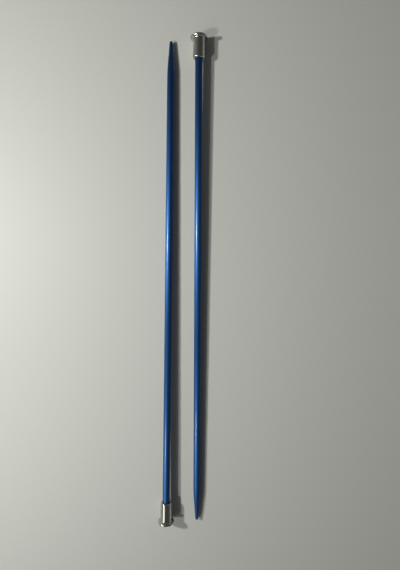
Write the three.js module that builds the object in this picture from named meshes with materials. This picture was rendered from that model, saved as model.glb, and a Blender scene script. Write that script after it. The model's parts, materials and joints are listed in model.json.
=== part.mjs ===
// A pair of straight knitting needles, put down side by side on a table, one point up and one point down.
// Each needle is two pieces: a drawn aluminium tube, swaged shut and turned to a blunt point, and a plated
// stopper cap, turned from bar, whose socket takes the open end of the tube.
// Millimetres, +Z up. The needles lie along Y, and the left needle points to +Y.
import * as THREE from 'three';

// Shaft: a tube with a solid point
const NEEDLE_LENGTH = 300; // from the tip of the point to the flat end of the cap
const SHAFT_DIAMETER = 4.5;
const TUBE_WALL = 0.8;
const TUBE_EDGE = 0.2; // chamfer on the cut end of the tube
const POINT_LENGTH = 18; // from the tip to where the cone would meet the straight shaft
const POINT_ROUNDING = 1; // radius of the blunt tip
const SHOULDER_BLEND = 3; // how far the soft shoulder reaches to each side of that meeting
const SOLID_POINT = 8; // from the tip to where the swaged bore has closed

// Stopper cap: a barrel with a flange round its closed end
const CAP_LENGTH = 13.2;
const BARREL_DIAMETER = 7.2;
const MOUTH_ROLL = 0.9; // radius of the rolled outer edge of the mouth
const MOUTH_CHAMFER = 0.3; // lead-in of the socket
const FLANGE_DIAMETER = 10.4;
const FLANGE_THICKNESS = 1.4;
const FLANGE_RIM = 0.55; // radius on both edges of the rim
const FLANGE_FILLET = 0.6; // hollow corner between the barrel and the flange
const CAP_FLOOR = 3; // from the flat end to the floor of the socket, beside its wall
const SOCKET_FLOOR_CONE = 0.5; // depth of the cone that the drill leaves in the floor
const GLUE_FILM = 0.15; // between the tube and the wall of the socket
const GLUE_FLOOR = 0.3; // between the cut end of the tube and the floor of the socket

// How the pair lies
const SHAFT_SPACING = 18.3; // between the axes, at half the length
const RIGHT_SET_BACK = 0.5; // the right needle lies this much further along +Y
const LEFT_LEAN = 0.74; // degrees in plan, towards +X on the way to +Y
const RIGHT_LEAN = 0.32;

const TURNED_SIDES = 48; // facets round everything turned, a multiple of 4
const ARC_STEPS = 4;
const SHOULDER_STEPS = 5;

const shaftRadius = SHAFT_DIAMETER / 2;
const boreRadius = shaftRadius - TUBE_WALL;
const barrelRadius = BARREL_DIAMETER / 2;
const flangeRadius = FLANGE_DIAMETER / 2;
const socketRadius = shaftRadius + GLUE_FILM;
const tubeEnd = CAP_FLOOR + GLUE_FLOOR;

const anodisedBlue = new THREE.MeshStandardMaterial({ color: 0x1d4c8c, roughness: 0.3, metalness: 1 });
const nickelPlate = new THREE.MeshStandardMaterial({ color: 0xb9b7ae, roughness: 0.12, metalness: 1 });

// Every profile below is drawn in the half plane of a needle: x is the radius, and y runs along the axis,
// from the flat end of the cap at 0 to the tip.
const at = (radius, along) => new THREE.Vector2(radius, along);

// Points on an arc, both ends included. Angles are in radians, from +x towards +y.
function arc(centre, radius, from, to, steps = ARC_STEPS) {
  return Array.from({ length: steps + 1 }, (_, i) => {
    const angle = from + ((to - from) * i) / steps;
    return at(centre.x + radius * Math.cos(angle), centre.y + radius * Math.sin(angle));
  });
}

// The outside of the shaft, from the cut end to the tip: straight, a soft shoulder, a cone and a ball end.
function shaftOutside() {
  const corner = at(shaftRadius, NEEDLE_LENGTH - POINT_LENGTH);
  const tipCentre = at(0, NEEDLE_LENGTH - POINT_ROUNDING);
  const reach = tipCentre.y - corner.y;
  const coneAngle = Math.atan2(shaftRadius, reach) - Math.asin(POINT_ROUNDING / Math.hypot(shaftRadius, reach));
  const shoulderRadius = SHOULDER_BLEND / Math.tan(coneAngle / 2);
  const shoulderCentre = at(corner.x - shoulderRadius, corner.y - SHOULDER_BLEND);
  return [
    at(shaftRadius - TUBE_EDGE, tubeEnd),
    at(shaftRadius, tubeEnd + TUBE_EDGE),
    ...arc(shoulderCentre, shoulderRadius, 0, coneAngle, SHOULDER_STEPS),
    ...arc(tipCentre, POINT_ROUNDING, coneAngle, Math.PI / 2).slice(0, -1),
    at(0, NEEDLE_LENGTH),
  ];
}

// The bore, from its closed end behind the point to the cut end of the tube. Swaging draws it to a cone.
function shaftBore() {
  return [
    at(0, NEEDLE_LENGTH - SOLID_POINT),
    at(boreRadius, NEEDLE_LENGTH - POINT_LENGTH - SHOULDER_BLEND),
    at(boreRadius, tubeEnd + TUBE_EDGE),
    at(boreRadius + TUBE_EDGE, tubeEnd),
  ];
}

// The outside of the cap, from the middle of its flat end to the mouth.
function capOutside() {
  const quarter = Math.PI / 2;
  const rim = flangeRadius - FLANGE_RIM;
  return [
    at(0, 0),
    ...arc(at(rim, FLANGE_RIM), FLANGE_RIM, -quarter, 0),
    ...arc(at(rim, FLANGE_THICKNESS - FLANGE_RIM), FLANGE_RIM, 0, quarter),
    ...arc(
      at(barrelRadius + FLANGE_FILLET, FLANGE_THICKNESS + FLANGE_FILLET),
      FLANGE_FILLET,
      -quarter,
      -2 * quarter,
    ),
    ...arc(at(barrelRadius - MOUTH_ROLL, CAP_LENGTH - MOUTH_ROLL), MOUTH_ROLL, 0, quarter),
  ];
}

// The socket, from the mouth to the middle of its floor.
function capSocket() {
  return [
    at(socketRadius + MOUTH_CHAMFER, CAP_LENGTH),
    at(socketRadius, CAP_LENGTH - MOUTH_CHAMFER),
    at(socketRadius, CAP_FLOOR),
    at(0, CAP_FLOOR - SOCKET_FLOOR_CONE),
  ];
}

const shaftForm = new THREE.LatheGeometry([...shaftBore(), ...shaftOutside()], TURNED_SIDES);
const capForm = new THREE.LatheGeometry([...capOutside(), ...capSocket()], TURNED_SIDES);

// A needle put down on a table stands on the rim of its flange and dips until the shaft touches too, at the
// shoulder. Returns that dip, in radians, and the height of the axis at the flat end of the cap.
function lyingDown() {
  const foot = at(flangeRadius, FLANGE_THICKNESS - FLANGE_RIM);
  const dips = shaftOutside().slice(2).map((p) => Math.atan2(foot.x - p.x, p.y - foot.y));
  const dip = Math.min(...dips);
  return { dip, height: foot.x * Math.cos(dip) + foot.y * Math.sin(dip) };
}

// One needle on the table, turned in plan about the middle of its length, which lies at x, y.
function needle(side, x, y, turn) {
  const shaft = new THREE.Mesh(shaftForm, anodisedBlue);
  shaft.name = `${side}_shaft`;
  const cap = new THREE.Mesh(capForm, nickelPlate);
  cap.name = `${side}_stopper_cap`;

  const { dip, height } = lyingDown();
  const dipped = new THREE.Group();
  dipped.add(shaft, cap);
  dipped.rotation.x = -dip;
  dipped.position.set(0, (-NEEDLE_LENGTH / 2) * Math.cos(dip), height);

  const placed = new THREE.Group();
  placed.add(dipped);
  placed.rotation.z = THREE.MathUtils.degToRad(turn);
  placed.position.set(x, y, 0);
  return placed;
}

const pair = new THREE.Group();
pair.add(
  needle('left', -SHAFT_SPACING / 2, -RIGHT_SET_BACK / 2, -LEFT_LEAN),
  needle('right', SHAFT_SPACING / 2, RIGHT_SET_BACK / 2, 180 - RIGHT_LEAN),
);

// The origin is the middle of the pair's footprint on the table.
pair.updateMatrixWorld(true);
const footprint = new THREE.Box3().setFromObject(pair, true);
const middle = footprint.getCenter(new THREE.Vector3());
pair.position.set(-middle.x, -middle.y, -footprint.min.z);
pair.updateMatrixWorld(true);

export default pair;
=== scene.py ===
# A pair of straight knitting needles, lying head to point on a pale table: blue anodised aluminium shafts
# with turned points, and nickel plated stopper caps. This script gives the needles their looks. Their sizes
# and places are the CAD model's.
import json
from itertools import pairwise
from math import radians, tau

import bmesh
import bpy
from mathutils import Matrix, Vector


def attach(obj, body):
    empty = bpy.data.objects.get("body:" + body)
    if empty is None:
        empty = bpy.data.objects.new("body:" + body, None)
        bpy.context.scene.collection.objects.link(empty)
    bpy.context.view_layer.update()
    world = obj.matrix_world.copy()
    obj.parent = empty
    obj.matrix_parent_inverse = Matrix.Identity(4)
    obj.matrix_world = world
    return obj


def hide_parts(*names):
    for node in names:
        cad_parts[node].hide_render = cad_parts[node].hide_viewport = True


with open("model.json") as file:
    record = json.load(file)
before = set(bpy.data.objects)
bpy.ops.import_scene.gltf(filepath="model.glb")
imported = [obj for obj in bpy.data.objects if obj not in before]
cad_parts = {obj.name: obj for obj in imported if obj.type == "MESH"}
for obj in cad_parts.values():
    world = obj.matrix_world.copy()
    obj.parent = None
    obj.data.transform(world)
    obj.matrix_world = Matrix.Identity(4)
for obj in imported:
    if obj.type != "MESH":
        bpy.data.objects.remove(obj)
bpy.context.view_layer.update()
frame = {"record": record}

# Sizes below are in millimetres, and Blender works in metres.
MM = 0.001

# Stopper cap: a barrel with a flange round its closed end. Lengths run from the flat end.
CAP_LENGTH = 13.2
BARREL_RADIUS = 3.6
MOUTH_ROLL = 0.9
MOUTH_CHAMFER = 0.3
FLANGE_RADIUS = 5.2
FLANGE_THICKNESS = 1.4
FLANGE_RIM = 0.55
FLANGE_FILLET = 0.6
SOCKET_FLOOR = 3
SOCKET_FLOOR_CONE = 0.5

# Glue between the tube and the socket
GLUE_FILM = 0.15
GLUE_FLOOR = 0.3

# Shaft: a drawn tube with a solid point. Its length runs from the flat end of the cap to the tip.
NEEDLE_LENGTH = 300
SHAFT_RADIUS = 2.25
TUBE_WALL = 0.8
TUBE_EDGE = 0.2
POINT_LENGTH = 18
SHOULDER_REACH = 3
BALL_REACH = 0.92  # how far the rounding of the tip reaches, along the cone and across it
SOLID_POINT = 8  # from the tip to where the swaged bore has closed

SOCKET_RADIUS = SHAFT_RADIUS + GLUE_FILM
TUBE_START = SOCKET_FLOOR + GLUE_FLOOR
SHOULDER_START = NEEDLE_LENGTH - POINT_LENGTH - SHOULDER_REACH

TURNED_SIDES = 96
ROUNDING_STEPS = 8

# The camera looks very nearly straight down at the middle of the right needle.
SEEN_POINT = (10.83, 0.55, 0)
CAMERA_DISTANCE = 252.5
CAMERA_TILT = 2.4  # degrees, which brings it over the upper half of the picture
CAMERA_LEAN = 3.2  # degrees, which brings it over the right half
SEEN_HEIGHT = 358.9  # of the table, from the top edge of the picture to the bottom edge
SENSOR = 36

TABLE_REACH = 2000  # from the middle to each side
LAMP_WHITE = "fffdf8"
CEILING_GLOW = 0.037
WALL_GLOW = 0.295


def hex_colour(code):
    """The linear colour, with alpha, of an sRGB hex code such as 1d4c8c."""
    channels = [int(code[i : i + 2], 16) / 255 for i in (0, 2, 4)]
    linear = [c / 12.92 if c <= 0.04045 else ((c + 0.055) / 1.055) ** 2.4 for c in channels]
    return (*linear, 1)


def add(tree, kind, inputs=None, **settings):
    """Adds a node. Inputs are given by name or number: a value, or the output of another node to link."""
    made = tree.nodes.new(kind)
    for name, value in settings.items():
        setattr(made, name, value)
    for name, value in (inputs or {}).items():
        if isinstance(value, bpy.types.NodeSocket):
            tree.links.new(value, made.inputs[name])
        else:
            made.inputs[name].default_value = value
    return made


def new_material(name):
    material = bpy.data.materials.new(name)
    material.use_nodes = True
    material.node_tree.nodes.clear()
    return material, material.node_tree


def anodised_aluminium():
    """Blue anodised aluminium tube: drawn, bright dipped, dyed and sealed. The eye sees a deep blue metal
    with soft lights that run along the shaft, faint draw lines, and ring marks where the point was turned."""
    material, tree = new_material("anodised_aluminium")
    own = add(tree, "ShaderNodeAttribute", attribute_name="own_place").outputs["Vector"]
    along = add(tree, "ShaderNodeSeparateXYZ", {0: own}).outputs["Z"]

    # Draw lines, coarser than real ones so that they show
    line_gap = 0.2
    line_length = 40
    lines_scale = (1 / line_gap, 1 / line_gap, 1 / line_length)
    lines_place = add(tree, "ShaderNodeMapping", {"Vector": own, "Scale": lines_scale}).outputs[0]
    lines = add(tree, "ShaderNodeTexNoise", {"Vector": lines_place, "Scale": 1.0, "Detail": 2.0}).outputs[0]

    # Turning marks on the cone: rings, nearly even all the way round
    ring_gap = 0.15
    ring_reach = 5
    rings_scale = (1 / ring_reach, 1 / ring_reach, 1 / ring_gap)
    rings_place = add(tree, "ShaderNodeMapping", {"Vector": own, "Scale": rings_scale}).outputs[0]
    rings = add(tree, "ShaderNodeTexNoise", {"Vector": rings_place, "Scale": 1.0, "Detail": 1.0}).outputs[0]
    on_cone = add(
        tree,
        "ShaderNodeMapRange",
        {"Value": along, "From Min": SHOULDER_START, "From Max": SHOULDER_START + 1},
    ).outputs[0]
    marks = add(tree, "ShaderNodeMix", {0: on_cone, 2: lines, 3: rings}, data_type="FLOAT").outputs[0]

    # Handling leaves broad soft smears, about 8 mm by 30 mm.
    smears_scale = (1 / 8, 1 / 8, 1 / 30)
    smears_place = add(tree, "ShaderNodeMapping", {"Vector": own, "Scale": smears_scale}).outputs[0]
    smears = add(tree, "ShaderNodeTexNoise", {"Vector": smears_place, "Scale": 1.0, "Detail": 3.0}).outputs[0]

    roughness = add(
        tree,
        "ShaderNodeMapRange",
        {"Value": smears, "From Min": 0.3, "From Max": 0.7, "To Min": 0.475, "To Max": 0.515},
    ).outputs[0]
    colour = add(
        tree,
        "ShaderNodeMix",
        {0: smears, 6: hex_colour("244f85"), 7: hex_colour("2a578f")},
        data_type="RGBA",
    ).outputs[2]
    bump = add(tree, "ShaderNodeBump", {"Height": marks, "Strength": 0.05, "Distance": 0.02 * MM}).outputs[0]

    # The draw lines spread the light round the tube more than along it.
    round_axis = add(tree, "ShaderNodeAttribute", attribute_name="round_axis").outputs["Vector"]
    round_tube = add(
        tree,
        "ShaderNodeVectorTransform",
        {0: round_axis},
        vector_type="VECTOR",
        convert_from="OBJECT",
        convert_to="WORLD",
    ).outputs[0]
    surface = add(
        tree,
        "ShaderNodeBsdfPrincipled",
        {
            "Base Color": colour,
            "Metallic": 1.0,
            "Roughness": roughness,
            "Anisotropic": 0.65,
            "Tangent": round_tube,
            "Normal": bump,
            "Coat Weight": 0.33,
            "Coat Roughness": 0.17,
        },
    )
    add(tree, "ShaderNodeOutputMaterial", {"Surface": surface.outputs[0]})
    return material


def nickel_plate():
    """Bright nickel plate on a turned cap. The eye sees a slightly warm mirror, a little softened by wiping
    and by wear."""
    material, tree = new_material("nickel_plate")
    own = add(tree, "ShaderNodeAttribute", attribute_name="own_place").outputs["Vector"]

    # Polishing marks: rings that fade in and out as they go round, coarser than real ones so that they show
    ring_gap = 0.1
    rings_scale = (0.3, 0.3, 1 / ring_gap)
    rings_place = add(tree, "ShaderNodeMapping", {"Vector": own, "Scale": rings_scale}).outputs[0]
    rings = add(tree, "ShaderNodeTexNoise", {"Vector": rings_place, "Scale": 1.0, "Detail": 2.0}).outputs[0]

    # Wiping leaves soft smears, about 2.5 mm across.
    smear_size = 2.5
    smears_scale = (1 / smear_size, 1 / smear_size, 1 / smear_size)
    smears_place = add(tree, "ShaderNodeMapping", {"Vector": own, "Scale": smears_scale}).outputs[0]
    smears = add(tree, "ShaderNodeTexNoise", {"Vector": smears_place, "Scale": 1.0, "Detail": 4.0}).outputs[0]
    smeared = add(
        tree,
        "ShaderNodeMapRange",
        {"Value": smears, "From Min": 0.3, "From Max": 0.7, "To Min": 0.08, "To Max": 0.16},
    ).outputs[0]

    # Tables and drawers scuff the rim of the flange, so it mirrors less sharply.
    scuff_width = 0.4
    across = add(tree, "ShaderNodeMapping", {"Vector": own, "Scale": (1, 1, 0)}).outputs[0]
    from_axis = add(tree, "ShaderNodeVectorMath", {0: across}, operation="LENGTH").outputs["Value"]
    scuffs = add(
        tree,
        "ShaderNodeMapRange",
        {
            "Value": from_axis,
            "From Min": FLANGE_RADIUS - scuff_width,
            "From Max": FLANGE_RADIUS,
            "To Max": 0.1,
        },
    ).outputs[0]
    roughness = add(tree, "ShaderNodeMath", {0: smeared, 1: scuffs}, operation="ADD").outputs[0]
    bump = add(tree, "ShaderNodeBump", {"Height": rings, "Strength": 0.1, "Distance": 0.01 * MM}).outputs[0]
    surface = add(
        tree,
        "ShaderNodeBsdfPrincipled",
        {"Base Color": hex_colour("c4c3bc"), "Metallic": 1.0, "Roughness": roughness, "Normal": bump},
    )
    add(tree, "ShaderNodeOutputMaterial", {"Surface": surface.outputs[0]})
    return material


def pale_laminate():
    """Matt laminate, pressed smooth. The eye sees an even pale grey that mirrors nothing."""
    material, tree = new_material("pale_laminate")
    surface = add(tree, "ShaderNodeBsdfPrincipled", {"Base Color": hex_colour("b9bbb6"), "Roughness": 0.6})
    add(tree, "ShaderNodeOutputMaterial", {"Surface": surface.outputs[0]})
    return material


def shaft_profile():
    """Corners of the shaft, from the closed end of the bore to its open end and back outside to the tip. Each
    is a radius, a distance along the needle and how far the rounding of the corner reaches."""
    bore = SHAFT_RADIUS - TUBE_WALL
    return [
        (0, NEEDLE_LENGTH - SOLID_POINT, 0),
        (bore, SHOULDER_START, 0),
        (bore, TUBE_START + TUBE_EDGE, 0),
        (bore + TUBE_EDGE, TUBE_START, 0),
        (SHAFT_RADIUS - TUBE_EDGE, TUBE_START, 0),
        (SHAFT_RADIUS, TUBE_START + TUBE_EDGE, 0),
        (SHAFT_RADIUS, NEEDLE_LENGTH - POINT_LENGTH, SHOULDER_REACH),
        (BALL_REACH, NEEDLE_LENGTH, BALL_REACH),
        (0, NEEDLE_LENGTH, 0),
    ]


def cap_profile():
    """Corners of the cap in the same form, from the middle of its flat end to the middle of its socket."""
    return [
        (0, 0, 0),
        (FLANGE_RADIUS, 0, FLANGE_RIM),
        (FLANGE_RADIUS, FLANGE_THICKNESS, FLANGE_RIM),
        (BARREL_RADIUS, FLANGE_THICKNESS, FLANGE_FILLET),
        (BARREL_RADIUS, CAP_LENGTH, MOUTH_ROLL),
        (SOCKET_RADIUS + MOUTH_CHAMFER, CAP_LENGTH, 0),
        (SOCKET_RADIUS, CAP_LENGTH - MOUTH_CHAMFER, 0),
        (SOCKET_RADIUS, SOCKET_FLOOR, 0),
        (0, SOCKET_FLOOR - SOCKET_FLOOR_CONE, 0),
    ]


def turned(name, corners, place, material):
    """A solid of revolution. Its profile goes from corner to corner, is rounded where a corner says so, and
    is spun round the needle's axis. Place takes it from the lathe to the table."""
    bm = bmesh.new()
    points = [bm.verts.new((radius, 0, along)) for radius, along, _ in corners]
    for pair in pairwise(points):
        bm.edges.new(pair)
    for point, (_, _, reach) in zip(points, corners):
        if reach:
            bmesh.ops.bevel(
                bm,
                geom=[point],
                offset=reach,
                offset_type="OFFSET",
                segments=ROUNDING_STEPS,
                profile=0.5,
                affect="VERTICES",
                material=-1,
            )
    bmesh.ops.spin(
        bm,
        geom=bm.verts[:] + bm.edges[:],
        cent=(0, 0, 0),
        axis=(0, 0, 1),
        dvec=(0, 0, 0),
        angle=tau,
        steps=TURNED_SIDES,
        use_merge=True,
    )
    bmesh.ops.remove_doubles(bm, verts=bm.verts, dist=0.001)
    bmesh.ops.recalc_face_normals(bm, faces=bm.faces)

    # The materials read where a point is on its needle, in millimetres, and which way runs round the axis.
    own_place = bm.verts.layers.float_vector.new("own_place")
    round_axis = bm.verts.layers.float_vector.new("round_axis")
    turn = place.to_3x3().normalized()
    for vert in bm.verts:
        vert[own_place] = vert.co
        vert[round_axis] = turn @ Vector((-vert.co.y, vert.co.x, 0)).normalized()
    for face in bm.faces:
        face.smooth = True
    bmesh.ops.transform(bm, matrix=place, verts=bm.verts)

    mesh = bpy.data.meshes.new(name)
    bm.to_mesh(mesh)
    bm.free()
    mesh.materials.append(material)
    piece = bpy.data.objects.new(name, mesh)
    bpy.context.scene.collection.objects.link(piece)
    piece.modifiers.new("even_normals", "WEIGHTED_NORMAL")
    return piece


def needle(side, finishes):
    """One needle, where its mount in the record says that its cap ends and which way that end faces."""
    cap_end = next(m for m in frame["record"]["mounts"] if m["name"] == f"{side}_cap_end")
    along = -Vector(cap_end["axis"])
    place = (
        Matrix.Translation(cap_end["pos_m"])
        @ Vector((0, 0, 1)).rotation_difference(along).to_matrix().to_4x4()
        @ Matrix.Scale(MM, 4)
    )
    shaft = turned(f"{side}_anodised_shaft", shaft_profile(), place, finishes["anodised_blue"])
    cap = turned(f"{side}_plated_cap", cap_profile(), place, finishes["plated_cap"])
    for piece, node, slot in ((shaft, "shaft", "anodised_blue"), (cap, "stopper_cap", "plated_cap")):
        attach(piece, f"{side}_needle")
        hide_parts(f"{side}_{node}")


def table_top():
    bm = bmesh.new()
    bmesh.ops.create_grid(bm, x_segments=1, y_segments=1, size=TABLE_REACH * MM)
    mesh = bpy.data.meshes.new("table_top")
    bm.to_mesh(mesh)
    bm.free()
    mesh.materials.append(pale_laminate())
    top = bpy.data.objects.new("table_top", mesh)
    bpy.context.scene.collection.objects.link(top)


def room():
    """Walls and floor are lighter than the ceiling, most of all on the left, where the lamps are."""
    world = bpy.data.worlds.new("room")
    bpy.context.scene.world = world
    world.use_nodes = True
    tree = world.node_tree
    tree.nodes.clear()
    way = add(tree, "ShaderNodeTexCoord").outputs["Generated"]
    light_side = Vector((-0.5, 0, -0.866))  # 30 degrees to the left of straight down
    nearness = add(
        tree, "ShaderNodeVectorMath", {0: way, 1: light_side}, operation="DOT_PRODUCT"
    ).outputs["Value"]
    glow = add(
        tree,
        "ShaderNodeMapRange",
        {"Value": nearness, "From Min": -1.0, "From Max": 0.5, "To Min": CEILING_GLOW, "To Max": WALL_GLOW},
    ).outputs[0]
    back = add(tree, "ShaderNodeBackground", {"Color": hex_colour("ffffff"), "Strength": glow})
    add(tree, "ShaderNodeOutputWorld", {"Surface": back.outputs[0]})


def lamp(name, place, target, width, length, watts, colour):
    """A soft lamp with a face of width by length, aimed at target. Places are in millimetres."""
    light = bpy.data.lights.new(name, "AREA")
    light.shape = "ELLIPSE"
    light.size = width * MM
    light.size_y = length * MM
    light.energy = watts
    light.color = hex_colour(colour)[:3]
    holder = bpy.data.objects.new(name, light)
    bpy.context.scene.collection.objects.link(holder)
    holder.location = Vector(place) * MM
    holder.rotation_euler = ((Vector(target) - Vector(place)) * MM).to_track_quat("-Z", "Y").to_euler()
    return holder


def lamps():
    """A near lamp and a far one, which give each shaft its two shadows, and a window."""
    lamp("near_lamp", (-336, 67, 308), (644, -113, -55), 36, 36, 1.87, LAMP_WHITE)
    # The shadows of the far lamp and its image in the shafts don't agree on one place for it. So one lamp
    # gives the shadows and another the image.
    far_shadows = lamp("far_lamp", (-380, -201, 453), (-122, 266, 177), 50, 50, 1.5, LAMP_WHITE)
    far_shadows.visible_glossy = False
    far_image = lamp("low_lamp", (-566, -470, 674), (0, 0, 0), 50, 50, 2.9, LAMP_WHITE)
    far_image.visible_diffuse = False
    lamp("window", (-425, -554, 500), (0, -150, 0), 300, 480, 0.5, "ffffff")


def camera():
    lens = bpy.data.cameras.new("camera")
    lens.sensor_width = SENSOR
    lens.lens = SENSOR * CAMERA_DISTANCE / SEEN_HEIGHT
    holder = bpy.data.objects.new("camera", lens)
    turn = Matrix.Rotation(radians(CAMERA_LEAN), 4, "Y") @ Matrix.Rotation(-radians(CAMERA_TILT), 4, "X")
    holder.location = (Vector(SEEN_POINT) + turn @ Vector((0, 0, CAMERA_DISTANCE))) * MM
    holder.rotation_euler = turn.to_euler()
    bpy.context.scene.collection.objects.link(holder)
    bpy.context.scene.camera = holder


camera()
finishes = {"anodised_blue": anodised_aluminium(), "plated_cap": nickel_plate()}
for side in ("left", "right"):
    needle(side, finishes)
table_top()
room()
lamps()

bpy.context.scene.view_settings.view_transform = "Standard"
